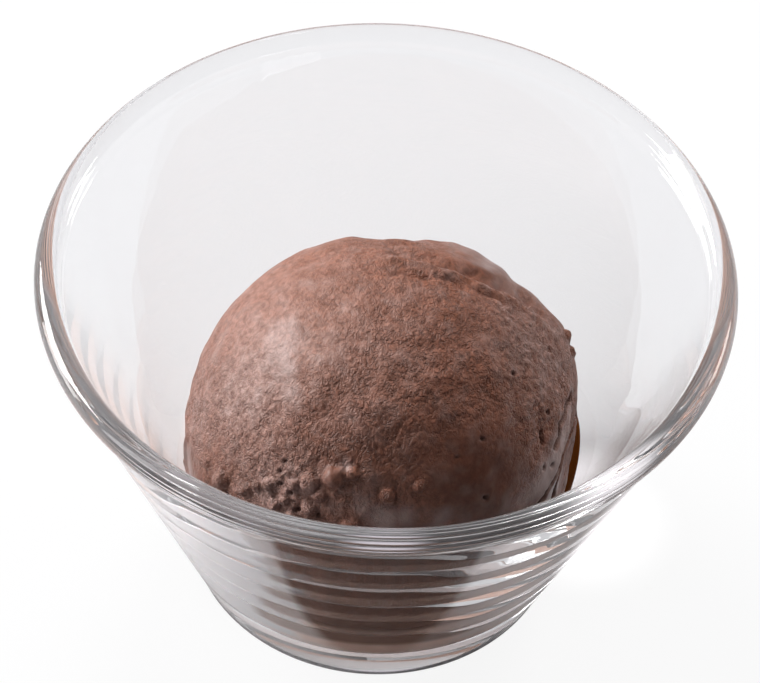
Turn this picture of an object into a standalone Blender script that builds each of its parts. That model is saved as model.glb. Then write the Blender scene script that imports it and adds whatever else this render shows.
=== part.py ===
"""A scoop of chocolate gelato in a clear glass cup, with its own melt round its foot.

Metres, +Z up. The origin is the middle of the cup's foot, on the surface that it stands on.
The front of the cup, where the scoop leans on the glass, faces -Y.
"""
import math

import bmesh
import bpy
from mathutils import Vector, noise

# Glass cup, outside
RIM_RADIUS = 0.0450
CUP_HEIGHT = 0.0550
LIP_RADIUS = 0.00175
WALL_FOOT_RADIUS = 0.0253
OUTER_LEAN = math.radians(20.13)
HEEL = 0.0016
FOOT_RING_WIDTH = 0.0045
PUNT_DEPTH = 0.0008
NECK_DROP = 0.0043

# Glass cup, inside
FLOOR_HEIGHT = 0.0072
INNER_LEAN = math.radians(21.6)
FLOOR_FILLET = 0.0050

# Scoop
SCOOP_RADIUS = 0.0262
SCOOP_CENTRE = Vector((0.0004, -0.0031, 0.0244))
GRAIN_HEIGHT = 0.00030
GRAIN_LENGTH = 0.0050

# Melt
MELT_LEVEL = 0.0126
MELT_FRONT_RISE = 0.0037
MELT_FRONT_SPAN = (-80.0, -52.0, 10.0, 34.0)
MELT_RIGHT_RISE = 0.0060
MELT_RIGHT_SPAN = (62.0, 106.0, 118.0, 152.0)
MELT_MIN_WIDTH = 0.0014

# Clearance between touching pieces
GAP = 0.0003

# Fineness of the faceted solids
CUP_STEPS = 80
SCOOP_STEPS = 76
SCOOP_RINGS = 38
MELT_STEPS = 72
MELT_LEVELS = 5

# Swells and hollows of the scoop: bearing from the front towards +X and height above the
# scoop's middle, both in degrees, then the height in metres and the spread in degrees
SWELLS = {
    "right shoulder": (116, 22, 0.0019, 17),
    "shoulder knob": (118, 8, 0.0008, 7),
    "back right corner": (152, 36, 0.0012, 14),
    "crown dip": (178, 40, -0.0006, 12),
    "crown left": (-160, 40, 0.0006, 16),
    "left brow": (-128, 30, 0.0006, 16),
    "low right hollow": (50, -2, -0.0006, 18),
    "hollow beside the glass": (80, 2, -0.0015, 14),
}

# Creases and ridges of its skin: the bearings and heights of the line that one follows, in
# degrees, then its height in metres (a crease's is negative) and its half width in degrees
CREASES = {
    "fold behind the crown": (((172, 62), (150, 61), (132, 53), (118, 38)), -0.0009, 5.0),
    "lip of the fold": (((176, 69), (150, 67), (134, 61), (125, 56), (112, 40)), 0.0005, 4.0),
    "right crevice": (((90, 21), (77, 24), (70, 21)), -0.0010, 3.2),
    "crevice beside the glass": (((94, 7), (78, 12), (69, 11), (65, 5)), -0.0012, 3.2),
    "ridge of melt on the left": (((-85, 11), (-76, 13), (-63, 15)), 0.0004, 3.0),
}

# Nodules where the scoop's edge crumbled: bearing, height, radius in metres
NODULES = (
    (-16, 37, 0.0015),
    (-10, 39, 0.0010),
    (-24, 33, 0.0012),
    (-19, 31, 0.0010),
    (-54, 16, 0.0013),
    (3, 34, 0.0010),
    (-30, 25, 0.0010),
    (-37, 27, 0.0009),
    (-45, 21, 0.0010),
    (-22, 26, 0.0010),
    (-8, 24, 0.0011),
    (14, 36, 0.0008),
)


def smoothstep(low, high, value):
    """0 below low, 1 above high, and a smooth step between."""
    part = min(max((value - low) / (high - low), 0.0), 1.0)
    return part * part * (3.0 - 2.0 * part)


def bearing(x, y):
    """Angle of a point round the upright, from the front (-Y) towards +X."""
    return math.atan2(x, -y)


def direction(bearing_deg, height_deg):
    """Unit vector from a bearing and a height above the horizontal, in degrees."""
    turn = math.radians(bearing_deg)
    rise = math.radians(height_deg)
    level = math.cos(rise)
    return Vector((level * math.sin(turn), -level * math.cos(turn), math.sin(rise)))


def outer_radius(height):
    """Radius of the cup's outer wall."""
    return WALL_FOOT_RADIUS + (height - HEEL) * math.tan(OUTER_LEAN)


def inner_wall_radius(height):
    """Radius of the inner wall's straight cone, which runs down from the lip."""
    top = CUP_HEIGHT - LIP_RADIUS
    return RIM_RADIUS - 2.0 * LIP_RADIUS - (top - height) * math.tan(INNER_LEAN)


def fillet_centre_radius():
    """Radius of the middle of the rounding between the floor and the inner wall."""
    middle = FLOOR_HEIGHT + FLOOR_FILLET
    return inner_wall_radius(middle) - FLOOR_FILLET / math.cos(INNER_LEAN)


def inner_radius(height):
    """Radius of the hollow, its floor's rounding included."""
    middle = FLOOR_HEIGHT + FLOOR_FILLET
    tangent = middle - FLOOR_FILLET * math.sin(INNER_LEAN)
    if height >= tangent:
        return inner_wall_radius(height)
    drop = min(max(middle - height, 0.0), FLOOR_FILLET)
    return fillet_centre_radius() + math.sqrt(FLOOR_FILLET ** 2 - drop ** 2)


def arc(centre, radius, start_deg, end_deg, steps):
    """Points of an arc in the radius and height plane, both ends included."""
    points = []
    for step in range(steps + 1):
        angle = math.radians(start_deg + (end_deg - start_deg) * step / steps)
        points.append((centre[0] + radius * math.cos(angle), centre[1] + radius * math.sin(angle)))
    return points


def cup_profile():
    """Half section of the glass, from the middle of the underside round to the floor's middle."""
    foot_radius = WALL_FOOT_RADIUS - HEEL
    ring_inner = foot_radius - FOOT_RING_WIDTH
    lip_centre = (RIM_RADIUS - LIP_RADIUS, CUP_HEIGHT - LIP_RADIUS)
    lean = math.degrees(INNER_LEAN)
    points = [(0.0, PUNT_DEPTH), (ring_inner * 0.5, PUNT_DEPTH * 0.85)]
    points += [(ring_inner * 0.9, PUNT_DEPTH * 0.35), (ring_inner, 0.0)]
    points += arc((foot_radius, HEEL), HEEL, -90, 0, 4)
    neck = CUP_HEIGHT - NECK_DROP
    wall_steps = 4
    for step in range(1, wall_steps + 1):
        height = HEEL + (neck - HEEL) * step / wall_steps
        points.append((outer_radius(height), height))
    points += arc(lip_centre, LIP_RADIUS, -45, 180, 10)
    fillet_centre = (fillet_centre_radius(), FLOOR_HEIGHT + FLOOR_FILLET)
    fillet = arc(fillet_centre, FLOOR_FILLET, -lean, -90, 5)
    bottom = fillet[0][1]
    top = CUP_HEIGHT - LIP_RADIUS
    for step in range(1, wall_steps):
        height = top + (bottom - top) * step / wall_steps
        points.append((inner_wall_radius(height), height))
    points += fillet
    points += [(fillet_centre[0] * 0.5, FLOOR_HEIGHT), (0.0, FLOOR_HEIGHT)]
    return points


def spun_mesh(name, points, closed, steps):
    """Mesh of a half section turned once round the upright."""
    mesh = bmesh.new()
    ring = [mesh.verts.new((radius, 0.0, height)) for radius, height in points]
    edges = [mesh.edges.new(pair) for pair in zip(ring, ring[1:])]
    if closed:
        edges.append(mesh.edges.new((ring[-1], ring[0])))
    bmesh.ops.spin(
        mesh, geom=ring + edges, cent=(0, 0, 0), axis=(0, 0, 1), dvec=(0, 0, 0),
        angle=math.tau, steps=steps, use_merge=True,
    )
    bmesh.ops.remove_doubles(mesh, verts=mesh.verts, dist=1e-6)
    bmesh.ops.dissolve_degenerate(mesh, edges=mesh.edges, dist=1e-7)
    bmesh.ops.recalc_face_normals(mesh, faces=mesh.faces)
    result = bpy.data.meshes.new(name)
    mesh.to_mesh(result)
    mesh.free()
    return result


def wall_clearance(height, turn):
    """Space kept between the scoop and the glass: the melt's width up to its level there."""
    level = melt_top(turn)
    under_melt = 2.0 * GAP + MELT_MIN_WIDTH
    above = smoothstep(level + 0.0003, level + 0.0015, height)
    return under_melt + (GAP - under_melt) * above


def plateau(span, degrees):
    """1 between the span's middle values, falling to 0 at its outer ones."""
    rise = smoothstep(span[0], span[1], degrees)
    return rise * (1.0 - smoothstep(span[2], span[3], degrees))


def melt_top(turn):
    """Height of the melt, which clings higher to the glass in front and at the right."""
    degrees = math.degrees(turn)
    front = MELT_FRONT_RISE * plateau(MELT_FRONT_SPAN, degrees)
    return MELT_LEVEL + front + MELT_RIGHT_RISE * plateau(MELT_RIGHT_SPAN, degrees)


def fits_in_cup(point):
    """Whether a point of the scoop is clear of the glass and of the melt along the wall."""
    if point.z < FLOOR_HEIGHT + GAP:
        return False
    room = inner_radius(point.z) - wall_clearance(point.z, bearing(point.x, point.y))
    return math.hypot(point.x, point.y) < room


def angle_between(first, second):
    """Angle between two unit vectors, in degrees."""
    return math.degrees(math.acos(min(max(first.dot(second), -1.0), 1.0)))


def angle_to_line(way, line):
    """Angle from one direction to a line over the scoop, in degrees."""
    nearest = 180.0
    corners = [direction(turn, rise) for turn, rise in line]
    for start, end in zip(corners, corners[1:]):
        run = end - start
        part = min(max((way - start).dot(run) / run.length_squared, 0.0), 1.0)
        nearest = min(nearest, angle_between(way, (start + run * part).normalized()))
    return nearest


def relief(way):
    """How far the scoop's skin stands off the plain ball in one direction."""
    total = 0.0
    for line, height, spread in CREASES.values():
        off = angle_to_line(way, line) / spread
        total += height * math.exp(-off * off)
    for turn, rise, height, spread in SWELLS.values():
        off = angle_between(way, direction(turn, rise)) / spread
        total += height * math.exp(-off * off)
    for turn, rise, radius in NODULES:
        off = angle_between(way, direction(turn, rise)) / math.degrees(radius / SCOOP_RADIUS)
        total += radius * math.exp(-off * off * 0.7)
    grain = noise.fractal(way * (SCOOP_RADIUS / GRAIN_LENGTH), 1.0, 2.0, 2)
    return total + GRAIN_HEIGHT * grain


def scoop_point(way):
    """Point of the scoop's skin in one direction from its middle."""
    far = SCOOP_RADIUS + relief(way)
    if fits_in_cup(SCOOP_CENTRE + way * far):
        return SCOOP_CENTRE + way * far
    near = 0.0
    for _ in range(24):
        middle = 0.5 * (near + far)
        if fits_in_cup(SCOOP_CENTRE + way * middle):
            near = middle
        else:
            far = middle
    return SCOOP_CENTRE + way * near


def inside_scoop(point):
    """Whether a point lies in the scoop."""
    arm = point - SCOOP_CENTRE
    return arm.length < (scoop_point(arm.normalized()) - SCOOP_CENTRE).length


def scoop_edge_radius(turn, height):
    """Radius from the cup's upright at which the scoop ends, at one bearing and height."""
    near = 0.0
    far = inner_radius(height)
    for _ in range(20):
        middle = 0.5 * (near + far)
        if inside_scoop(Vector((middle * math.sin(turn), -middle * math.cos(turn), height))):
            near = middle
        else:
            far = middle
    return near


def scoop_mesh():
    """Ball shaped into the scoop, flat where it sits on the floor and pressed to the glass."""
    mesh = bmesh.new()
    bmesh.ops.create_uvsphere(mesh, u_segments=SCOOP_STEPS, v_segments=SCOOP_RINGS, radius=1.0)
    for vert in mesh.verts:
        vert.co = scoop_point(vert.co.normalized())
    bmesh.ops.recalc_face_normals(mesh, faces=mesh.faces)
    result = bpy.data.meshes.new("gelato_scoop")
    mesh.to_mesh(result)
    mesh.free()
    return result


def melt_section():
    """Plain ring section: outer side at radius 2, inner side at radius 1, heights 0 to 1."""
    levels = [step / MELT_LEVELS for step in range(MELT_LEVELS + 1)]
    outer = [(2.0, level) for level in levels]
    inner = [(1.0, level) for level in reversed(levels)]
    return outer + [(1.5, 1.0)] + inner


def fit_melt(co):
    """Moves a point of the plain ring to its place between the glass and the scoop."""
    turn = bearing(co.x, co.y)
    side = math.hypot(co.x, co.y) - 1.0
    bottom = FLOOR_HEIGHT + GAP
    height = bottom + co.z * (melt_top(turn) - bottom)
    inner = scoop_edge_radius(turn, max(height, bottom + GAP)) + 1.8 * GAP
    outer = inner_radius(height) - GAP
    radius = inner + (outer - inner) * side
    return Vector((radius * math.sin(turn), -radius * math.cos(turn), height))


def melt_mesh():
    """Ring of melt that fills the space between the scoop's foot and the glass."""
    result = spun_mesh("melted_gelato", melt_section(), True, MELT_STEPS)
    for vert in result.vertices:
        vert.co = fit_melt(vert.co)
    return result


def material(name, colour, roughness, transmission=0.0):
    """Plain Principled material."""
    made = bpy.data.materials.new(name)
    made.use_nodes = True
    shader = made.node_tree.nodes["Principled BSDF"]
    shader.inputs["Base Color"].default_value = (*colour, 1.0)
    shader.inputs["Roughness"].default_value = roughness
    shader.inputs["Metallic"].default_value = 0.0
    shader.inputs["Transmission Weight"].default_value = transmission
    return made


def add_piece(name, mesh, finish, parent=None):
    """Object of one sub-part, shaded smooth and parented to the cup."""
    piece = bpy.data.objects.new(name, mesh)
    bpy.context.scene.collection.objects.link(piece)
    mesh.shade_smooth()
    mesh.set_sharp_from_angle(angle=math.radians(50))
    mesh.materials.append(finish)
    piece.parent = parent
    return piece


def clear_scene():
    """Removes whatever the scene holds."""
    for old in list(bpy.data.objects):
        bpy.data.objects.remove(old)


def main():
    """Builds the cup, the scoop and the melt."""
    clear_scene()
    glass = material("clear_glass", (0.93, 0.94, 0.95), 0.03, transmission=1.0)
    gelato = material("chocolate_gelato", (0.21, 0.10, 0.07), 0.6)
    melt = material("melted_chocolate_gelato", (0.24, 0.14, 0.10), 0.2)
    cup = add_piece("glass_cup", spun_mesh("glass_cup", cup_profile(), False, CUP_STEPS), glass)
    add_piece("gelato_scoop", scoop_mesh(), gelato, cup)
    add_piece("melted_gelato", melt_mesh(), melt, cup)


main()
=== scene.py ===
"""Looks of the gelato cup: fine clear glass, a porous chocolate scoop and its glossy melt."""
import math

import bmesh
import bpy
import numpy as np
from mathutils import Matrix, Vector, noise
from mathutils.bvhtree import BVHTree


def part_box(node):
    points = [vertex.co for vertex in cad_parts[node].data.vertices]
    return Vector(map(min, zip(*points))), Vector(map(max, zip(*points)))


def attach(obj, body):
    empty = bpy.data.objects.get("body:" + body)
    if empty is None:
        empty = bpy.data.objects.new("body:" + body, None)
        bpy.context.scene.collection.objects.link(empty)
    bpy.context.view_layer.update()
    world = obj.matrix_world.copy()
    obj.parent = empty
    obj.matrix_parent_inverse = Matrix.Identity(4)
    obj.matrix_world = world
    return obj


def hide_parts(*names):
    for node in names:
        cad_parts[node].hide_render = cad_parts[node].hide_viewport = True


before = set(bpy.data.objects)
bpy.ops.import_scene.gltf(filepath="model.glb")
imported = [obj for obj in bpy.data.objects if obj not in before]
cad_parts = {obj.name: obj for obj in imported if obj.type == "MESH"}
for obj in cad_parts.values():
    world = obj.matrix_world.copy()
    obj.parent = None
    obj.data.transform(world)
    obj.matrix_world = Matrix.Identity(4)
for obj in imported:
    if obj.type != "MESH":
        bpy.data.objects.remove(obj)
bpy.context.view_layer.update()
cup_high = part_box("glass_cup")[1]

# Glass, in metres: the cup's own box gives its height and its mouth
CUP_HEIGHT = cup_high.z
RIM_RADIUS = cup_high.x
LIP_RADIUS = 0.00175
WALL_FOOT_RADIUS = 0.0253
OUTER_LEAN = math.radians(20.13)
INNER_LEAN = math.radians(21.6)
INNER_BOW = 0.00005
HEEL = 0.0016
FOOT_RING_WIDTH = 0.0045
PUNT_DEPTH = 0.0008
NECK_DROP = 0.0043
FLOOR_HEIGHT = 0.0072
FLOOR_FILLET = 0.0050
PUNT_POINTS = 10
HEEL_POINTS = 12
LIP_POINTS = 30
LIP_START = -45.0
FILLET_POINTS = 16
GLASS_STEPS = 256
WALL_POINTS = 110

# Rings pressed into the inner wall: height, depth and half width
RIPPLES = (
    (0.0399, 0.000005, 0.0014),
    (0.0303, 0.000006, 0.0014),
)

# Scoop: the plain ball, how its mesh is cut and pulled finer towards the camera, and its space
# to the floor, to the melt and to the glass it leans on
SCOOP_RADIUS = 0.0262
SCOOP_CENTRE = np.array((0.0004, -0.0031, 0.0244))
SCOOP_CUTS = 123
SCOOP_FINE_RISE = 42.0
SCOOP_FINE_PULL = 0.30
GAP = 0.0003
WALL_TOUCH = 0.00015
FIT_ROUNDS = 26

# Finish of the scoop's skin, in metres: low waves and mottle with how long they are, pits and
# crumbs with how far apart they stand
WAVE_HEIGHT, WAVE_LENGTH = 0.00030, 0.0050
MOTTLE_HEIGHT, MOTTLE_LENGTH = 0.00008, 0.0022
PIT_DEPTH, PIT_SPACING = 0.00013, 0.00085
CRUMB_HEIGHT, CRUMB_SPACING = 0.00045, 0.00120

# How the edges of patches and of cracks wander: length of the waves in metres, and reach
PATCH_WANDER = (0.0030, 0.030)
CRACK_WANDER = (0.0015, 0.012)

# Depth of a hole and stand-off of a nodule for each metre of its radius
HOLE_DEPTH = 1.7
NODULE_RISE = 0.8

# Melt: its level and where it clings higher, its least width at the wall, how far it reaches
# into the glass and the scoop, and the dip of its surface between them
MELT_LEVEL = 0.0126
MELT_FRONT_RISE = 0.0037
MELT_RIGHT_RISE = 0.0060
MELT_MIN_WIDTH = 0.0014
MELT_INTO_WALL = 0.00006
MELT_DIP = 0.0006
MELT_INTO_SCOOP = 0.0001
MELT_STEPS = 240
MELT_ROWS = 14

# Heights over the melt between which the scoop comes back out to the glass
CLEAR_START = 0.0003
CLEAR_END = 0.0015

# Camera: distance, height angle, lens and the small turns that frame the cup
CAMERA_DISTANCE = 0.500
CAMERA_HEIGHT = math.radians(50.16)
CAMERA_YAW = math.radians(-0.05)
CAMERA_PITCH = math.radians(0.94)
CAMERA_ROLL = math.radians(2.96)
LENS = 177.9
SENSOR = 36.0

# Floor: half its width, how bright and how evenly the camera sees it, its true colour, and
# the painted shadows, darker spots that stand for the shade of the cup and scoop around and
# under it and that the glass mirrors, each with its middle, its reach, the even share of
# that reach and its colour
FLOOR_REACH = 3.0
FLOOR_BRIGHTNESS = 1.02
FLOOR_EVENNESS = 0.88
FLOOR_COLOUR = (0.45, 0.45, 0.456)
FLOOR_PAINTED_SHADOWS = (
    ((0.0015, -0.0415), (0.0265, 0.0155), 0.88, (0.03, 0.026, 0.026)),
    ((0.0020, 0.0310), (0.017, 0.0085), 0.50, (0.30, 0.27, 0.27)),
    ((-0.0070, -0.0060), (0.020, 0.017), 0.60, (0.24, 0.215, 0.215)),
)

# Painted light: glowing spots on the floor that stand for the light the cup gathers under its
# right side and its front: middle, reach, even share of that reach, colour
FLOOR_PAINTED_GLOWS = (
    ((0.0290, 0.0030), (0.015, 0.014), 0.40, (0.80, 0.77, 0.79)),
    ((0.0015, -0.0185), (0.007, 0.0045), 0.30, (0.56, 0.52, 0.57)),
)

# Softboxes: name, the way they stand from the cup, distance, size, power, and whether the
# glass mirrors them
SOFTBOXES = (
    ("window", (-0.76, 0.37, 0.53), 1.40, 0.70, 32.5, True),
    ("left_low", (-0.96, 0.22, 0.17), 1.30, 0.50, 6.5, True),
    ("right_fill", (0.80, 0.40, 0.36), 1.20, 0.30, 2.0, True),
    ("back_top", (0.30, 0.62, 0.72), 1.20, 0.50, 12.5, False),
)

# Surroundings: the way in which they grow brighter, the span of that way's cosine, and their
# tones from darkest to brightest
SKY_WAY = (-0.78, 0.48, 0.36)
SKY_SPAN = (-0.7, 0.9)
SKY_TONES = (
    (0.0, (0.05, 0.045, 0.048)),
    (0.38, (0.14, 0.13, 0.135)),
    (0.70, (0.38, 0.38, 0.39)),
    (1.0, (0.85, 0.85, 0.87)),
)

# Bounces of light: many, as the glass is thick and mirrors itself
MAX_BOUNCES = 40
MIRROR_BOUNCES = 32

# Swells and hollows of the scoop: bearing from the front towards +X and height above its
# middle, both in degrees, then the height in metres and the spread in degrees
SWELLS = (
    (116, 22, 0.0019, 17),
    (118, 8, 0.0008, 7),
    (152, 36, 0.0012, 14),
    (178, 40, -0.0006, 12),
    (-160, 40, 0.0006, 16),
    (-128, 30, 0.0006, 16),
    (50, -2, -0.0006, 18),
    (80, 2, -0.0015, 14),
    (176, 50, 0.0004, 4),
    (165, 42, 0.0005, 4),
    (157, 40, 0.0004, 3),
    (148, 39, 0.0005, 4),
    (138, 37, 0.0004, 4),
    (127, 33, 0.0004, 4),
)

# Creases and ridges: the line followed, its height in metres and half width in degrees
CREASES = (
    (((172, 62), (150, 61), (132, 53), (118, 38)), -0.0009, 4.0),
    (((176, 69), (150, 67), (134, 61), (125, 56), (119, 48), (112, 40)), 0.0005, 2.2),
    (((-85, 11), (-76, 13), (-69, 14), (-63, 15)), 0.0004, 1.1),
    (((-79, 7), (-80, -4), (-76, -7), (-66, 0)), 0.0004, 1.1),
    (((176, 76), (155, 75), (143, 71)), -0.0005, 1.2),
    (((140, 68), (131, 66), (124, 63)), -0.0005, 1.1),
    (((146, 61), (139, 57), (136, 50)), -0.0004, 1.3),
    (((128, 60), (119, 57), (113, 51)), -0.0004, 1.1),
)

# Thin cracks, painted dark inside as shade: the line followed, depth in metres and half width in
# degrees
CRACKS = (
    (((91, 21), (84, 23), (77, 24), (73, 22), (70.5, 22)), 0.0015, 1.1),
    (((74, 13.7), (67, 13.6), (61, 12.7), (56, 11.9), (50, 11)), 0.0010, 0.8),
    (((96, 8), (86, 10), (78, 11.8), (69, 10.7), (65, 5.5), (62, 0)), 0.0016, 1.3),
)

# Small holes, painted dark inside as shade: bearing, height and radius in metres
HOLES = (
    (67, 30.2, 0.00040),
    (66, 29.2, 0.00045),
    (65, 28.2, 0.00040),
    (74, 31.8, 0.00035),
    (61, 21.6, 0.00035),
    (65.7, 18, 0.00040),
    (110, 19, 0.00045),
    (98, 36, 0.00035),
    (74, 49, 0.00035),
    (42, 43, 0.00027),
    (36, 27, 0.00037),
    (30, 42, 0.00023),
    (-34.8, 32.6, 0.00026),
    (-33.3, 29.3, 0.00027),
    (-28.7, 28.5, 0.00034),
    (-27.2, 26.4, 0.00026),
    (-25.1, 24.5, 0.00030),
    (-18.9, 24.9, 0.00028),
    (-34.7, 35.8, 0.00022),
    (-50.5, 13.5, 0.00050),
)

# Nodules where the edge crumbled: bearing, height, radius in metres
NODULES = (
    (-16, 37, 0.0016),
    (-10, 39, 0.0010),
    (-24, 33, 0.0013),
    (-19, 31, 0.0010),
    (-54, 16, 0.0014),
    (3, 34, 0.0011),
    (-30, 25, 0.0008),
    (-37, 27, 0.0009),
    (-45, 21, 0.0010),
    (-22, 26, 0.0011),
    (-8, 24, 0.0011),
    (14, 36, 0.0008),
    (113, 22, 0.0009),
    (109.5, 19.5, 0.0008),
    (-29, 31, 0.0008),
    (-33, 22, 0.0009),
    (-26, 21, 0.0010),
    (-41, 24, 0.0007),
)

# Patches of the skin: bearing, height, spread in degrees and strength
WET_PATCHES = (
    (36, 30, 17, 1.0),
    (12, 16, 14, 0.9),
    (62, 12, 13, 0.9),
    (-75, 3, 9, 0.8),
    (0, -26, 38, 0.8),
    (140, 40, 12, 0.8),
    (-16, 38, 4, 0.7),
)
SMOOTH_PATCHES = (
    (-122, 48, 26, 0.9),
    (-75, 60, 24, 0.6),
    (140, 45, 14, 0.8),
)
# Pale frost on the right; on the left and over the crumbs these patches are painted sheen and
# highlights where the lamps light the skin
FROST_AND_SHEEN_PATCHES = (
    (95, 44, 16, 0.6),
    (-66, 42, 20, 0.9),
    (-88, 45, 38, 0.45),
    (-55, 72, 26, 0.40),
    (-78, 22, 16, 0.6),
    (-82, 56, 9, 0.8),
    (-71, 57, 6, 0.7),
    (-93, 48, 9, 0.6),
    (-34, 27, 15, 0.75),
)
# Milky wet streaks, partly melted cream and partly painted sheen, and high on the left a painted
# highlight
MILK_AND_SHEEN_PATCHES = (
    (85, 18, 4, 0.8),
    (77, 18, 5, 1.0),
    (68, 18, 5, 1.0),
    (59, 18, 5, 1.0),
    (51, 18, 5, 0.8),
    (-13, 42, 2, 0.9),
    (-4, 31, 4, 0.7),
    (2, 28, 4, 1.0),
    (8, 28, 4, 0.7),
    (20, 25, 5, 0.5),
    (-75, -1, 7, 0.6),
    (143, 37, 9, 0.6),
    (131, 32, 8, 0.5),
    (-80, 57, 5, 0.6),
    (-69, 58, 5, 0.8),
    (-58, 57, 4, 0.6),
    (-49, 54, 3, 0.7),
)
CRUMB_PATCHES = (
    (-27, 25, 13, 0.75),
    (-48, 20, 9, 0.6),
    (80, 40, 16, 0.70),
    (103, 44, 13, 0.70),
    (130, 58, 9, 0.40),
)

# Clear glass, and the tint of the plain see-through share that lets light reach the food
GLASS_COLOUR = (0.985, 0.985, 0.99)
SEE_THROUGH_COLOUR = (0.95, 0.95, 0.955)
GLASS_IOR = 1.5

# Grain of the gelato: scales of its noises, from broad clouds of tone to the finest grain,
# and the reach of its bump in metres
CLOUD_SCALE = 170.0
CROWD_SCALE = 420.0
FOLD_SCALE = 1150.0
WRINKLE_SCALE = 1200.0
PORE_SCALE = 1500.0
GRAIN_SCALE = 2800.0
BUMP_REACH = 0.00050

# How far the painted shade in pores, wet, the milk with its painted sheen, and the painted shade
# in cracks change the gelato's colour where they are fullest
PORE_SHADE_SHARE = 0.34
WET_SHARE = 0.75
MILK_AND_SHEEN_SHARE = 0.45
CRACK_SHADE_SHARE = 0.85

# Bump and roughness of the gelato: strength on wet skin and what pores add to it, roughness
# where dry and how much smoother it is where wet
SMOOTH_BUMP = 0.06
POROUS_BUMP = 0.70
DRY_ROUGHNESS = 0.56
WET_SMOOTHING = 0.26

# Colours of the gelato
GELATO_DARK = (0.138, 0.051, 0.029)
GELATO_MIDDLE = (0.158, 0.061, 0.037)
GELATO_LIGHT = (0.180, 0.076, 0.050)
# Painted shade: dark colour in the pores, where shade falls
PORE_SHADE_COLOUR = (0.040, 0.013, 0.007)
WET_COLOUR = (0.065, 0.020, 0.010)
# Pale colour of frost and of the milky wet, also used for the painted sheen and highlights
FROST_AND_SHEEN_COLOUR = (0.42, 0.33, 0.31)
# Painted shade inside cracks and holes
CRACK_SHADE_COLOUR = (0.022, 0.006, 0.003)

# Colours of the melt: its thin share at the glass, darkest and lightest, then where it is
# deep, the pale film it leaves on the glass, whose paleness, palest on the left, is partly
# painted light for light that shines through it and along the glass wall, and the clear dark
# share beside the scoop; and its gloss
MELT_DARK = (0.800, 0.530, 0.425)
MELT_LIGHT = (0.920, 0.640, 0.530)
DEEP_MELT_COLOUR = (0.150, 0.068, 0.044)
FILM_AND_PAINTED_LIGHT_COLOUR = (0.72, 0.68, 0.68)
AMBER_COLOUR = (0.110, 0.032, 0.006)
MELT_ROUGHNESS = 0.16
MELT_IOR = 1.15


def smoothstep(low, high, value):
    """0 below low, 1 above high, and a smooth step between; works on arrays."""
    part = np.clip((value - low) / (high - low), 0.0, 1.0)
    return part * part * (3.0 - 2.0 * part)


def ease(low, high, value):
    """The same smooth step for a single number."""
    return float(smoothstep(low, high, value))


def direction(bearing_deg, height_deg):
    """Unit vector from a bearing and a height above the horizontal, in degrees."""
    turn = math.radians(bearing_deg)
    rise = math.radians(height_deg)
    level = math.cos(rise)
    return np.array((level * math.sin(turn), -level * math.cos(turn), math.sin(rise)))


def outer_radius(height):
    """Radius of the cup's outer wall."""
    return WALL_FOOT_RADIUS + (height - HEEL) * math.tan(OUTER_LEAN)


def inner_wall_radius(height):
    """Radius of the inner wall's straight cone."""
    top = CUP_HEIGHT - LIP_RADIUS
    return RIM_RADIUS - 2.0 * LIP_RADIUS - (top - height) * math.tan(INNER_LEAN)


def fillet_centre_radius():
    """Radius of the middle of the rounding between the floor and the inner wall."""
    middle = FLOOR_HEIGHT + FLOOR_FILLET
    return inner_wall_radius(middle) - FLOOR_FILLET / math.cos(INNER_LEAN)


def inner_radius(height):
    """Radius of the hollow, its floor's rounding included; works on arrays."""
    middle = FLOOR_HEIGHT + FLOOR_FILLET
    tangent = middle - FLOOR_FILLET * math.sin(INNER_LEAN)
    drop = np.clip(middle - height, 0.0, FLOOR_FILLET)
    rounded = fillet_centre_radius() + np.sqrt(FLOOR_FILLET ** 2 - drop ** 2)
    return np.where(height >= tangent, inner_wall_radius(height), rounded)


def melt_top(turn):
    """Height of the melt by bearing in radians: it clings higher where the scoop leans."""
    degrees = np.degrees(turn)
    left = smoothstep(-80.0, -52.0, degrees)
    right = 1.0 - smoothstep(10.0, 34.0, degrees)
    side = smoothstep(62.0, 106.0, degrees) * (1.0 - smoothstep(118.0, 152.0, degrees))
    return MELT_LEVEL + MELT_FRONT_RISE * left * right + MELT_RIGHT_RISE * side


def arc(centre, radius, start_deg, end_deg, steps):
    """Points of an arc in the radius and height plane, both ends included."""
    points = []
    for step in range(steps + 1):
        angle = math.radians(start_deg + (end_deg - start_deg) * step / steps)
        points.append((centre[0] + radius * math.cos(angle), centre[1] + radius * math.sin(angle)))
    return points


def ripple(height):
    """How far the inner wall's rings stand in at one height."""
    return sum(deep * math.exp(-((height - at) / wide) ** 2) for at, deep, wide in RIPPLES)


def glass_profile():
    """Half section of the glass, from the middle of the underside round to the floor's middle."""
    foot_radius = WALL_FOOT_RADIUS - HEEL
    ring_inner = foot_radius - FOOT_RING_WIDTH
    points = []
    for step in range(PUNT_POINTS + 1):
        part = step / PUNT_POINTS
        points.append((ring_inner * part, PUNT_DEPTH * (1.0 - part * part) ** 1.5))
    points += arc((foot_radius, HEEL), HEEL, -90, 0, HEEL_POINTS)
    neck = CUP_HEIGHT - NECK_DROP
    for step in range(1, WALL_POINTS + 1):
        height = HEEL + (neck - HEEL) * step / WALL_POINTS
        points.append((outer_radius(height), height))
    lip_centre = (RIM_RADIUS - LIP_RADIUS, CUP_HEIGHT - LIP_RADIUS)
    points += arc(lip_centre, LIP_RADIUS, LIP_START, 180, LIP_POINTS)
    lean = math.degrees(INNER_LEAN)
    centre = (fillet_centre_radius(), FLOOR_HEIGHT + FLOOR_FILLET)
    fillet = arc(centre, FLOOR_FILLET, -lean, -90, FILLET_POINTS)
    top = CUP_HEIGHT - LIP_RADIUS
    for step in range(1, WALL_POINTS):
        part = step / WALL_POINTS
        height = top + (fillet[0][1] - top) * part
        bow = 4.0 * INNER_BOW * part * (1.0 - part)
        points.append((inner_wall_radius(height) + bow - ripple(height), height))
    points += fillet
    points += [(centre[0] * part, FLOOR_HEIGHT) for part in (0.66, 0.33, 0.0)]
    return points


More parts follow.
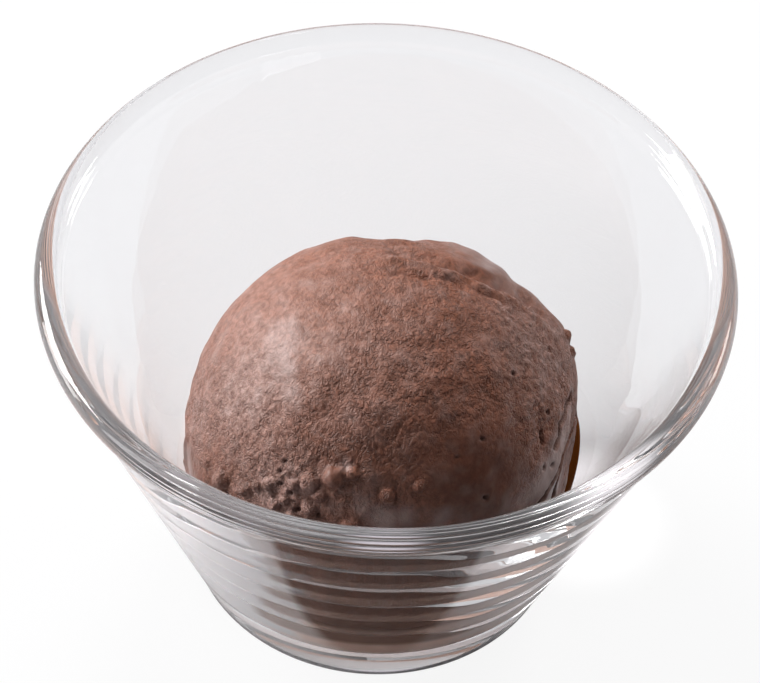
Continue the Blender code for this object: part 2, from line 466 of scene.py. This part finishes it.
def spun_mesh(name, points, closed, steps):
    """Mesh of a half section turned once round the upright."""
    mesh = bmesh.new()
    ring = [mesh.verts.new((radius, 0.0, height)) for radius, height in points]
    edges = [mesh.edges.new(pair) for pair in zip(ring, ring[1:])]
    if closed:
        edges.append(mesh.edges.new((ring[-1], ring[0])))
    bmesh.ops.spin(
        mesh, geom=ring + edges, cent=(0, 0, 0), axis=(0, 0, 1), dvec=(0, 0, 0),
        angle=math.tau, steps=steps, use_merge=True,
    )
    bmesh.ops.remove_doubles(mesh, verts=mesh.verts, dist=1e-6)
    bmesh.ops.dissolve_degenerate(mesh, edges=mesh.edges, dist=1e-7)
    bmesh.ops.recalc_face_normals(mesh, faces=mesh.faces)
    result = bpy.data.meshes.new(name)
    mesh.to_mesh(result)
    mesh.free()
    return result


def angles_from(ways, turn, rise):
    """Angles from many unit directions to one, in degrees."""
    return np.degrees(np.arccos(np.clip(ways @ direction(turn, rise), -1.0, 1.0)))


def angles_to_line(ways, line):
    """Angles from many unit directions to a line over the scoop, in degrees."""
    nearest = np.full(len(ways), 180.0)
    corners = [direction(turn, rise) for turn, rise in line]
    for start, end in zip(corners, corners[1:]):
        run = end - start
        part = np.clip((ways - start) @ run / (run @ run), 0.0, 1.0)
        foot = start + part[:, None] * run
        foot /= np.linalg.norm(foot, axis=1)[:, None]
        cosine = np.clip(np.einsum("ij,ij->i", ways, foot), -1.0, 1.0)
        nearest = np.minimum(nearest, np.degrees(np.arccos(cosine)))
    return nearest


def patch_mask(ways, patches):
    """0 to 1 over the skin, high inside the named patches."""
    total = np.zeros(len(ways))
    for turn, rise, spread, strength in patches:
        off = angles_from(ways, turn, rise) / spread
        total = np.maximum(total, strength * np.exp(-off ** 2))
    return total


def fractal_field(points, length, octaves, shift=0.0):
    """Fractal noise at many points, its largest waves about length long."""
    at = Vector((shift, -shift, 2.0 * shift))
    return np.array([noise.fractal(Vector(p) / length + at, 1.0, 2.0, octaves) for p in points])


def cell_field(points, length, stretch):
    """Distance to the nearest of many scattered pore middles, 0 in a pore and about 1 between."""
    spots = points / length * stretch
    return np.array([noise.voronoi(Vector(p))[0][0] for p in spots])


def warp(ways, length, reach):
    """Unit directions shifted by noise, so that lines and edges drawn with them wander."""
    points = ways * SCOOP_RADIUS
    shifts = [fractal_field(points, length, 2, shift) for shift in (11.0, 23.0, 37.0)]
    moved = ways + reach * np.stack(shifts, axis=1)
    return moved / np.linalg.norm(moved, axis=1)[:, None]


def relief(ways):
    """Stand-off of the scoop's skin from the plain ball, and the masks that its looks use."""
    points = ways * SCOOP_RADIUS
    total = np.zeros(len(ways))
    wandering = warp(ways, *PATCH_WANDER)
    for line, height, spread in CREASES:
        total += height * np.exp(-(angles_to_line(wandering, line) / spread) ** 2)
    for turn, rise, height, spread in SWELLS:
        total += height * np.exp(-(angles_from(ways, turn, rise) / spread) ** 2)
    uneven = warp(ways, *CRACK_WANDER)
    # Painted shade: a mask that darkens the skin's colour inside cracks and holes
    crack_shade = np.zeros(len(ways))
    for line, depth, spread in CRACKS:
        off = angles_to_line(uneven, line) / spread
        total -= depth * np.exp(-off ** 4)
        crack_shade = np.maximum(crack_shade, np.exp(-(0.8 * off) ** 4))
    for turn, rise, radius in HOLES:
        off = angles_from(uneven, turn, rise) / math.degrees(radius / SCOOP_RADIUS)
        cut = np.exp(-off ** 4)
        total -= HOLE_DEPTH * radius * cut
        crack_shade = np.maximum(crack_shade, 0.7 * cut)
    for turn, rise, radius in NODULES:
        off = angles_from(uneven, turn, rise) / math.degrees(radius / SCOOP_RADIUS)
        total += NODULE_RISE * radius * np.sqrt(np.clip(1.0 - off ** 2, 0.0, 1.0))
    total += WAVE_HEIGHT * fractal_field(points, WAVE_LENGTH, 2)
    mottle = fractal_field(points, MOTTLE_LENGTH, 3, 3.1)
    crumb = patch_mask(wandering, CRUMB_PATCHES)
    smooth = patch_mask(wandering, SMOOTH_PATCHES)
    wet = np.clip(patch_mask(wandering, WET_PATCHES) * 1.2 + 0.3 * mottle, 0.0, 1.0)
    # Frost, with painted sheen and highlights on the left
    frost_and_sheen = np.clip(patch_mask(wandering, FROST_AND_SHEEN_PATCHES) + 0.12 * mottle, 0.0, 1.0)
    porous = np.clip(1.0 - wet - 0.8 * smooth, 0.05, 1.0)
    cells = cell_field(points, PIT_SPACING, np.array((1.15, 0.85, 0.85)))
    pit = 1.0 - smoothstep(0.10, 0.50, cells)
    total -= PIT_DEPTH * pit * porous
    total += MOTTLE_HEIGHT * mottle * porous
    lumps = cell_field(points, CRUMB_SPACING, np.ones(3))
    total += CRUMB_HEIGHT * crumb * np.clip(1.0 - (lumps / 0.65) ** 2, 0.0, 1.0)
    # Milky wet with painted sheen, and the painted highlight
    milk_and_sheen = np.clip(patch_mask(wandering, MILK_AND_SHEEN_PATCHES) + 0.25 * mottle, 0.0, 1.0)
    return total, (wet, porous, frost_and_sheen), (milk_and_sheen, crack_shade)


def in_cup(points):
    """Whether each point of the scoop is clear of the glass and of the melt along the wall."""
    turn = np.arctan2(points[:, 0], -points[:, 1])
    under_melt = 2.0 * GAP + MELT_MIN_WIDTH
    level = melt_top(turn)
    above = smoothstep(level + CLEAR_START, level + CLEAR_END, points[:, 2])
    keep = under_melt + (WALL_TOUCH - under_melt) * above
    room = inner_radius(points[:, 2]) - keep
    clear = np.hypot(points[:, 0], points[:, 1]) < room
    return clear & (points[:, 2] >= FLOOR_HEIGHT + GAP)


def cube_ball(cuts):
    """Ball of radius 1 from a finely cut cube, its squares finest high up in front."""
    mesh = bmesh.new()
    bmesh.ops.create_cube(mesh, size=2.0)
    bmesh.ops.subdivide_edges(mesh, edges=mesh.edges, cuts=cuts, use_grid_fill=True)
    result = bpy.data.meshes.new("gelato_ball")
    mesh.to_mesh(result)
    mesh.free()
    ways = vertex_array(result)
    ways = np.tan(ways * math.pi / 4.0)
    ways /= np.linalg.norm(ways, axis=1)[:, None]
    ways += SCOOP_FINE_PULL * direction(0.0, SCOOP_FINE_RISE)
    ways /= np.linalg.norm(ways, axis=1)[:, None]
    return result, ways


def vertex_array(mesh):
    """Vertex places of a mesh as rows of numbers."""
    flat = np.zeros(len(mesh.vertices) * 3)
    mesh.vertices.foreach_get("co", flat)
    return flat.reshape(-1, 3)


def set_vertices(mesh, points):
    """Moves a mesh's vertices."""
    mesh.vertices.foreach_set("co", np.ascontiguousarray(points, np.float32).ravel())
    mesh.update()


def paint_mesh(mesh, name, channels):
    """Keeps up to three masks of a mesh's vertices as one colour attribute."""
    values = np.zeros((len(mesh.vertices), 4))
    for place, channel in enumerate(channels):
        values[:, place] = channel
    paint = mesh.color_attributes.new(name, "FLOAT_COLOR", "POINT")
    paint.data.foreach_set("color", values.ravel())


def scoop_mesh():
    """The scoop's skin, pressed to the glass in front and flat on the floor."""
    mesh, ways = cube_ball(SCOOP_CUTS)
    stand_off, skin, milk_sheen_and_crack_shade = relief(ways)
    far = SCOOP_RADIUS + stand_off
    near = np.zeros(len(ways))
    reach = far.copy()
    clear = in_cup(SCOOP_CENTRE + ways * far[:, None])
    for _ in range(FIT_ROUNDS):
        middle = 0.5 * (near + reach)
        fits = in_cup(SCOOP_CENTRE + ways * middle[:, None])
        near = np.where(fits, middle, near)
        reach = np.where(fits, reach, middle)
    length = np.where(clear, far, near)
    set_vertices(mesh, SCOOP_CENTRE + ways * length[:, None])
    paint_mesh(mesh, "skin", skin)
    # The second attribute holds the milky wet with its painted sheen, and the painted shade of
    # cracks and holes
    paint_mesh(mesh, "milk_sheen_and_crack_shade", milk_sheen_and_crack_shade)
    return mesh


def scoop_edge(turn, height, tree):
    """Radius from the cup's upright at which the scoop ends, at one bearing and height."""
    way = Vector((math.sin(turn), -math.cos(turn), 0.0))
    start = Vector((0.0, 0.0, height)) + way * RIM_RADIUS
    hit = tree.ray_cast(start, -way)[0]
    if hit is None:
        return 0.0
    return math.hypot(hit.x, hit.y)


def melt_section():
    """Plain ring section: outer side at radius 2, inner side at radius 1, heights 0 to 1."""
    levels = [step / MELT_ROWS for step in range(MELT_ROWS + 1)]
    outer = [(2.0, level) for level in levels]
    inner = [(1.0, level) for level in reversed(levels)]
    across = [(1.0 + part, 1.0) for part in (0.9, 0.75, 0.5, 0.25, 0.1)]
    return outer + across + inner


def film_paleness_and_painted_light(degrees, height):
    """How pale the thin film on the glass is, by bearing and height: palest at the left; the
    paleness is partly painted light for light seen through the film and caught in the glass wall.
    """
    edge = 20.0 + 11.0 * ease(0.0118, 0.0130, height)
    left = ease(edge - 3.0, edge + 3.0, -degrees)
    right = 0.50 * ease(edge + 1.0, edge + 9.0, degrees)
    low = ease(0.0, 45.0, -degrees) + 0.40 * ease(5.0, 60.0, degrees)
    high = ease(0.0092, 0.0104, height)
    ahead = 1.0 - ease(72.0, 92.0, abs(degrees))
    return ahead * (low + (left + right - low) * high)


def depth_share(degrees, height):
    """How deep and dark the melt looks: thin low in front, deep above and behind."""
    thin = 1.0 - 0.78 * ease(0.0114, 0.0132, height)
    return 1.0 - thin * (1.0 - 0.45 * ease(55.0, 75.0, abs(degrees)))


def amber_share(degrees):
    """How dark and clear the melt is, by bearing: most of all beside the scoop at the right."""
    return ease(45.0, 70.0, degrees) * (1.0 - ease(120.0, 150.0, degrees))


def melt_mesh(scoop):
    """Ring of melt that wets the glass and the scoop's foot, its edges drawn up."""
    tree = BVHTree.FromPolygons(
        [v.co for v in scoop.vertices], [tuple(p.vertices) for p in scoop.polygons]
    )
    mesh = spun_mesh("melted_gelato_pool", melt_section(), True, MELT_STEPS)
    film = np.zeros(len(mesh.vertices))
    amber = np.zeros(len(mesh.vertices))
    deep = np.zeros(len(mesh.vertices))
    bottom = FLOOR_HEIGHT + GAP
    for vert in mesh.vertices:
        turn = math.atan2(vert.co.x, -vert.co.y)
        degrees = math.degrees(turn)
        side = math.hypot(vert.co.x, vert.co.y) - 1.0
        top = float(melt_top(turn))
        share = vert.co.z
        height = bottom + share * (top - bottom)
        if share > 0.999:
            height -= MELT_DIP * (1.0 - (2.0 * side - 1.0) ** 2)
        inner = scoop_edge(turn, max(height, bottom + GAP), tree) - MELT_INTO_SCOOP
        outer = float(inner_radius(height)) + MELT_INTO_WALL
        radius = inner + (outer - inner) * side
        vert.co = Vector((radius * math.sin(turn), -radius * math.cos(turn), height))
        at_glass = ease(0.8, 1.0, side)
        # Partly painted light: the film's paleness stands for light caught in the glass wall
        film[vert.index] = film_paleness_and_painted_light(degrees, height) * at_glass
        deep[vert.index] = max(1.0 - at_glass, depth_share(degrees, height))
        amber[vert.index] = amber_share(degrees) * (1.0 - film[vert.index])
    paint_mesh(mesh, "film", (film, amber, deep))
    return mesh


def new_material(name):
    """Empty node material with its output, tree and node and link makers."""
    made = bpy.data.materials.new(name)
    made.use_nodes = True
    tree = made.node_tree
    tree.nodes.clear()
    output = tree.nodes.new("ShaderNodeOutputMaterial")
    return made, tree, output


def glass_material():
    """Clear glass; light reaches what it holds through a plain see-through share."""
    made, tree, output = new_material("clear_pressed_glass")
    nodes, links = tree.nodes, tree.links
    glass = nodes.new("ShaderNodeBsdfPrincipled")
    glass.inputs["Base Color"].default_value = (*GLASS_COLOUR, 1.0)
    glass.inputs["Roughness"].default_value = 0.0
    glass.inputs["IOR"].default_value = GLASS_IOR
    glass.inputs["Transmission Weight"].default_value = 1.0
    clear = nodes.new("ShaderNodeBsdfTransparent")
    clear.inputs["Color"].default_value = (*SEE_THROUGH_COLOUR, 1.0)
    path = nodes.new("ShaderNodeLightPath")
    shadow = nodes.new("ShaderNodeMixShader")
    diffuse = nodes.new("ShaderNodeMixShader")
    links.new(path.outputs["Is Shadow Ray"], shadow.inputs[0])
    links.new(glass.outputs[0], shadow.inputs[1])
    links.new(clear.outputs[0], shadow.inputs[2])
    links.new(path.outputs["Is Diffuse Ray"], diffuse.inputs[0])
    links.new(shadow.outputs[0], diffuse.inputs[1])
    links.new(clear.outputs[0], diffuse.inputs[2])
    links.new(diffuse.outputs[0], output.inputs["Surface"])
    return made


def ramp(nodes, stops):
    """Colour ramp with the given places and colours."""
    made = nodes.new("ShaderNodeValToRGB")
    bar = made.color_ramp.elements
    while len(bar) < len(stops):
        bar.new(0.5)
    for element, (place, colour) in zip(bar, stops):
        element.position = place
        element.color = (*colour, 1.0)
    return made


def math_node(nodes, links, kind, first, second):
    """Math node of two inputs, each a socket or a number."""
    made = nodes.new("ShaderNodeMath")
    made.operation = kind
    for slot, value in zip(made.inputs, (first, second)):
        if isinstance(value, (int, float)):
            slot.default_value = value
        else:
            links.new(value, slot)
    return made.outputs[0]


def mix_colour(nodes, links, share, first, second):
    """Mix of two colours, each a socket or three numbers."""
    made = nodes.new("ShaderNodeMix")
    made.data_type = "RGBA"
    if isinstance(share, (int, float)):
        made.inputs[0].default_value = share
    else:
        links.new(share, made.inputs[0])
    for slot, value in ((made.inputs[6], first), (made.inputs[7], second)):
        if isinstance(value, tuple):
            slot.default_value = (*value, 1.0)
        else:
            links.new(value, slot)
    return made.outputs[2]


def noise_node(nodes, links, vector, scale, detail, distortion=0.0):
    """Noise texture's value at a vector."""
    made = nodes.new("ShaderNodeTexNoise")
    made.inputs["Scale"].default_value = scale
    made.inputs["Detail"].default_value = detail
    made.inputs["Roughness"].default_value = 0.6
    made.inputs["Distortion"].default_value = distortion
    links.new(vector, made.inputs["Vector"])
    return made.outputs["Fac"]


def span_node(nodes, links, value, low, high, start, end):
    """Smooth change from start to end while a value runs from low to high."""
    made = nodes.new("ShaderNodeMapRange")
    made.interpolation_type = "SMOOTHSTEP"
    settings = (("From Min", low), ("From Max", high), ("To Min", start), ("To Max", end))
    for name, number in settings:
        made.inputs[name].default_value = number
    links.new(value, made.inputs["Value"])
    return made.outputs[0]


def pore_field(nodes, links, vector):
    """Small pores and short winding pits between them, in clusters, 1 in a pore."""
    cells = nodes.new("ShaderNodeTexVoronoi")
    cells.inputs["Scale"].default_value = PORE_SCALE
    links.new(vector, cells.inputs["Vector"])
    hole = span_node(nodes, links, cells.outputs["Distance"], 0.10, 0.42, 0.7, 0.0)
    folds = noise_node(nodes, links, vector, FOLD_SCALE, 2.0, 0.4)
    folds = math_node(nodes, links, "SUBTRACT", folds, 0.5)
    folds = math_node(nodes, links, "ABSOLUTE", folds, 0.0)
    folds = span_node(nodes, links, folds, 0.01, 0.09, 1.0, 0.0)
    hole = math_node(nodes, links, "MAXIMUM", hole, folds)
    crowd = noise_node(nodes, links, vector, CROWD_SCALE, 2.0)
    crowd = span_node(nodes, links, crowd, 0.32, 0.58, 0.25, 1.0)
    return math_node(nodes, links, "MULTIPLY", hole, crowd)


def painted(nodes, links, name):
    """The three masks of a colour attribute."""
    paint = nodes.new("ShaderNodeAttribute")
    paint.attribute_name = name
    parts = nodes.new("ShaderNodeSeparateColor")
    links.new(paint.outputs["Color"], parts.inputs[0])
    return parts.outputs[0], parts.outputs[1], parts.outputs[2]


def gelato_material():
    """Chocolate gelato: fine grain, with pores, cracks and wrinkle hollows darkened as painted
    shade, pale frost with painted sheen and highlights, and wet, darker patches.
    """
    made, tree, output = new_material("chocolate_gelato_skin")
    nodes, links = tree.nodes, tree.links
    shader = nodes.new("ShaderNodeBsdfPrincipled")
    links.new(shader.outputs[0], output.inputs["Surface"])
    place = nodes.new("ShaderNodeTexCoord")
    sweep = nodes.new("ShaderNodeMapping")
    sweep.inputs["Rotation"].default_value = (0.3, 0.7, 0.5)
    sweep.inputs["Scale"].default_value = (1.10, 0.90, 1.0)
    links.new(place.outputs["Object"], sweep.inputs["Vector"])
    along = sweep.outputs["Vector"]
    wet, porous, frost_and_sheen = painted(nodes, links, "skin")
    milk_and_sheen, crack_shade = painted(nodes, links, "milk_sheen_and_crack_shade")[:2]

    wrinkle = noise_node(nodes, links, along, WRINKLE_SCALE, 3.0, 0.4)
    grain = noise_node(nodes, links, along, GRAIN_SCALE, 2.0)
    cloud = noise_node(nodes, links, place.outputs["Object"], CLOUD_SCALE, 4.0)
    pores = math_node(nodes, links, "MULTIPLY", pore_field(nodes, links, along), porous)

    tone = ramp(nodes, [(0.30, GELATO_DARK), (0.50, GELATO_MIDDLE), (0.72, GELATO_LIGHT)])
    links.new(cloud, tone.inputs[0])
    # Painted shade and light: the tone is darker in the hollows and lighter on the ridges of the
    # wrinkles and the fine grain
    painted_relief_shade = span_node(nodes, links, wrinkle, 0.30, 0.70, 0.74, 1.22)
    painted_relief_shade = math_node(nodes, links, "MULTIPLY", painted_relief_shade,
                      span_node(nodes, links, grain, 0.25, 0.75, 0.86, 1.14))
    shaded = nodes.new("ShaderNodeVectorMath")
    shaded.operation = "SCALE"
    links.new(tone.outputs[0], shaded.inputs[0])
    links.new(painted_relief_shade, shaded.inputs["Scale"])
    # Painted shade in the pores
    pitted = mix_colour(nodes, links, math_node(nodes, links, "MULTIPLY", pores, PORE_SHADE_SHARE),
                        shaded.outputs[0], PORE_SHADE_COLOUR)
    wetted = mix_colour(nodes, links, math_node(nodes, links, "MULTIPLY", wet, WET_SHARE),
                        pitted, WET_COLOUR)
    # Frost, with painted sheen and highlights, whitens the wrinkles' ridges
    frost_and_sheen_share = math_node(nodes, links, "MULTIPLY", frost_and_sheen,
                         span_node(nodes, links, wrinkle, 0.30, 0.70, 0.10, 0.38))
    frost_and_sheen_mixed = mix_colour(nodes, links, frost_and_sheen_share, wetted, FROST_AND_SHEEN_COLOUR)
    # Milky wet, painted sheen and painted highlight
    milk_and_sheen_mixed = mix_colour(nodes, links, math_node(nodes, links, "MULTIPLY", milk_and_sheen, MILK_AND_SHEEN_SHARE),
                        frost_and_sheen_mixed, FROST_AND_SHEEN_COLOUR)
    # Painted shade in cracks and holes
    crack_shaded = mix_colour(nodes, links, math_node(nodes, links, "MULTIPLY", crack_shade, CRACK_SHADE_SHARE),
                         milk_and_sheen_mixed, CRACK_SHADE_COLOUR)
    links.new(crack_shaded, shader.inputs["Base Color"])

    rough = math_node(nodes, links, "MULTIPLY", wet, -WET_SMOOTHING)
    rough = math_node(nodes, links, "ADD", rough, DRY_ROUGHNESS)
    links.new(rough, shader.inputs["Roughness"])
    shader.inputs["IOR"].default_value = 1.33
    shader.inputs["Subsurface Weight"].default_value = 0.08
    shader.inputs["Subsurface Radius"].default_value = (0.0012, 0.0006, 0.0004)
    shader.inputs["Subsurface Scale"].default_value = 1.0
    shader.inputs["Coat Weight"].default_value = 0.06
    shader.inputs["Coat Roughness"].default_value = 0.30

    height = math_node(nodes, links, "MULTIPLY", wrinkle, 0.9)
    height = math_node(nodes, links, "SUBTRACT", height,
                       math_node(nodes, links, "MULTIPLY", pores, 0.70))
    height = math_node(nodes, links, "ADD", height,
                       math_node(nodes, links, "MULTIPLY", grain, 0.22))
    bump = nodes.new("ShaderNodeBump")
    bump.inputs["Distance"].default_value = BUMP_REACH
    strength = math_node(nodes, links, "MULTIPLY", porous, POROUS_BUMP)
    strength = math_node(nodes, links, "ADD", strength, SMOOTH_BUMP)
    links.new(strength, bump.inputs["Strength"])
    links.new(height, bump.inputs["Height"])
    links.new(bump.outputs[0], shader.inputs["Normal"])
    return made


def melt_material():
    """Wet melt, glossy, slightly uneven in tone."""
    made, tree, output = new_material("melted_gelato_gloss")
    nodes, links = tree.nodes, tree.links
    shader = nodes.new("ShaderNodeBsdfPrincipled")
    links.new(shader.outputs[0], output.inputs["Surface"])
    place = nodes.new("ShaderNodeTexCoord")
    swirl = nodes.new("ShaderNodeTexNoise")
    swirl.inputs["Scale"].default_value = 120.0
    swirl.inputs["Detail"].default_value = 3.0
    swirl.inputs["Distortion"].default_value = 0.6
    links.new(place.outputs["Object"], swirl.inputs["Vector"])
    tone = ramp(nodes, [(0.35, MELT_DARK), (0.65, MELT_LIGHT)])
    links.new(swirl.outputs["Fac"], tone.inputs[0])
    film, amber, deep = painted(nodes, links, "film")
    skin = mix_colour(nodes, links, deep, tone.outputs[0], DEEP_MELT_COLOUR)
    # Painted light: the pale film stands for light seen through it and caught in the glass wall
    skin = mix_colour(nodes, links, film, skin, FILM_AND_PAINTED_LIGHT_COLOUR)
    skin = mix_colour(nodes, links, amber, skin, AMBER_COLOUR)
    links.new(skin, shader.inputs["Base Color"])
    shader.inputs["Roughness"].default_value = MELT_ROUGHNESS
    shader.inputs["IOR"].default_value = MELT_IOR
    shader.inputs["Coat Weight"].default_value = 0.08
    shader.inputs["Coat Roughness"].default_value = 0.06
    shader.inputs["Subsurface Weight"].default_value = 0.1
    shader.inputs["Subsurface Radius"].default_value = (0.002, 0.001, 0.0006)
    return made


def add_piece(name, mesh, finish, node):
    """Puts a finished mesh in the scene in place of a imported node."""
    piece = bpy.data.objects.new(name, mesh)
    bpy.context.scene.collection.objects.link(piece)
    mesh.materials.clear()
    mesh.materials.append(finish)
    mesh.shade_smooth()
    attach(piece, "root")
    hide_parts(node)


def camera_axes():
    """Place of the camera and its right, up and forward unit vectors."""
    target = Vector((0.0, 0.0, CUP_HEIGHT * 0.5))
    back = Vector((0.0, -math.cos(CAMERA_HEIGHT), math.sin(CAMERA_HEIGHT)))
    place = target + back * CAMERA_DISTANCE
    forward = -back
    right = Vector((1.0, 0.0, 0.0))
    up = right.cross(forward)
    forward = (forward + right * math.tan(CAMERA_YAW) + up * math.tan(CAMERA_PITCH)).normalized()
    right = forward.cross(up).normalized()
    up = right.cross(forward)
    turned = right * math.cos(CAMERA_ROLL) + up * math.sin(CAMERA_ROLL)
    up = up * math.cos(CAMERA_ROLL) - right * math.sin(CAMERA_ROLL)
    return place, turned, up, forward


def add_camera():
    """Camera at the picture's viewing angle."""
    place, right, up, forward = camera_axes()
    data = bpy.data.cameras.new("view")
    data.lens = LENS
    data.sensor_width = SENSOR
    data.sensor_fit = "HORIZONTAL"
    data.clip_start = 0.01
    data.clip_end = 20.0
    camera = bpy.data.objects.new("view", data)
    bpy.context.scene.collection.objects.link(camera)
    turn = Matrix((right, up, -forward)).transposed()
    camera.matrix_world = Matrix.Translation(place) @ turn.to_4x4()
    bpy.context.scene.camera = camera


def soft_spot(nodes, links, centre, reach, core):
    """1 inside an oval on the floor's plane, fading to 0 at its edge from the core outwards."""
    place = nodes.new("ShaderNodeTexCoord")
    around = nodes.new("ShaderNodeMapping")
    around.vector_type = "TEXTURE"
    around.inputs["Location"].default_value = (*centre, 0.0)
    around.inputs["Scale"].default_value = (*reach, 1.0)
    links.new(place.outputs["Object"], around.inputs["Vector"])
    away = nodes.new("ShaderNodeVectorMath")
    away.operation = "LENGTH"
    links.new(around.outputs["Vector"], away.inputs[0])
    return span_node(nodes, links, away.outputs["Value"], core, 1.0, 1.0, 0.0)


def floor_material():
    """Pale floor with painted shadows and painted glows; the camera sees it nearly evenly lit, the
    glass mirrors its shading with them.
    """
    made, tree, output = new_material("pale_floor")
    nodes, links = tree.nodes, tree.links
    matt = nodes.new("ShaderNodeBsdfDiffuse")
    colour = FLOOR_COLOUR
    # Painted shadows: darker spots in the floor's colour where the cup and scoop would shade it
    for centre, reach, core, tone in FLOOR_PAINTED_SHADOWS:
        share = soft_spot(nodes, links, centre, reach, core)
        colour = mix_colour(nodes, links, share, colour, tone)
    links.new(colour, matt.inputs["Color"])
    surface = matt.outputs[0]
    # Painted light: emission spots on the floor standing for light the glass gathers there
    for centre, reach, core, tone in FLOOR_PAINTED_GLOWS:
        glow = nodes.new("ShaderNodeEmission")
        glow.inputs["Color"].default_value = (*tone, 1.0)
        links.new(soft_spot(nodes, links, centre, reach, core), glow.inputs["Strength"])
        both = nodes.new("ShaderNodeAddShader")
        links.new(surface, both.inputs[0])
        links.new(glow.outputs[0], both.inputs[1])
        surface = both.outputs[0]
    lit = nodes.new("ShaderNodeEmission")
    lit.inputs["Color"].default_value = (1.0, 1.0, 1.0, 1.0)
    lit.inputs["Strength"].default_value = FLOOR_BRIGHTNESS
    path = nodes.new("ShaderNodeLightPath")
    share = math_node(nodes, links, "MULTIPLY", path.outputs["Is Camera Ray"], FLOOR_EVENNESS)
    mix = nodes.new("ShaderNodeMixShader")
    links.new(share, mix.inputs[0])
    links.new(surface, mix.inputs[1])
    links.new(lit.outputs[0], mix.inputs[2])
    links.new(mix.outputs[0], output.inputs["Surface"])
    return made


def add_floor():
    """Wide pale floor."""
    mesh = bmesh.new()
    bmesh.ops.create_grid(mesh, x_segments=1, y_segments=1, size=FLOOR_REACH)
    data = bpy.data.meshes.new("floor")
    mesh.to_mesh(data)
    mesh.free()
    data.materials.append(floor_material())
    floor = bpy.data.objects.new("floor", data)
    bpy.context.scene.collection.objects.link(floor)


def add_softbox(name, toward, distance, size, power, mirrored):
    """Square area light, from a direction, turned to the cup; the glass may mirror it."""
    way = Vector(toward).normalized()
    data = bpy.data.lights.new(name, "AREA")
    data.shape = "SQUARE"
    data.size = size
    data.energy = power
    lamp = bpy.data.objects.new(name, data)
    lamp.visible_glossy = mirrored
    lamp.visible_transmission = mirrored
    bpy.context.scene.collection.objects.link(lamp)
    target = Vector((0.0, 0.0, CUP_HEIGHT * 0.5))
    turn = way.to_track_quat("Z", "Y").to_matrix().to_4x4()
    lamp.matrix_world = Matrix.Translation(target + way * distance) @ turn


def add_world():
    """Pale surroundings, brighter above, behind and to the left."""
    world = bpy.data.worlds.new("studio")
    world.use_nodes = True
    bpy.context.scene.world = world
    tree = world.node_tree
    tree.nodes.clear()
    place = tree.nodes.new("ShaderNodeTexCoord")
    lean = tree.nodes.new("ShaderNodeVectorMath")
    lean.operation = "DOT_PRODUCT"
    lean.inputs[1].default_value = Vector(SKY_WAY).normalized()
    tree.links.new(place.outputs["Generated"], lean.inputs[0])
    span = tree.nodes.new("ShaderNodeMapRange")
    span.inputs["From Min"].default_value = SKY_SPAN[0]
    span.inputs["From Max"].default_value = SKY_SPAN[1]
    tree.links.new(lean.outputs["Value"], span.inputs["Value"])
    sky = ramp(tree.nodes, SKY_TONES)
    tree.links.new(span.outputs[0], sky.inputs[0])
    background = tree.nodes.new("ShaderNodeBackground")
    background.inputs["Strength"].default_value = 1.0
    tree.links.new(sky.outputs[0], background.inputs["Color"])
    output = tree.nodes.new("ShaderNodeOutputWorld")
    tree.links.new(background.outputs[0], output.inputs["Surface"])


def main():
    """Builds the pieces, then the stage."""
    bpy.context.scene.view_settings.view_transform = "Standard"
    cycles = bpy.context.scene.cycles
    cycles.max_bounces = MAX_BOUNCES
    cycles.glossy_bounces = MIRROR_BOUNCES
    cycles.transmission_bounces = MAX_BOUNCES
    glass = spun_mesh("glass_cup_clear", glass_profile(), False, GLASS_STEPS)
    add_piece("glass_cup_clear", glass, glass_material(), "glass_cup")
    scoop = scoop_mesh()
    add_piece("gelato_scoop_skin", scoop, gelato_material(), "gelato_scoop")
    melt = melt_mesh(scoop)
    add_piece("melted_gelato_pool", melt, melt_material(), "melted_gelato")
    add_floor()
    add_world()
    for softbox in SOFTBOXES:
        add_softbox(*softbox)
    add_camera()


main()
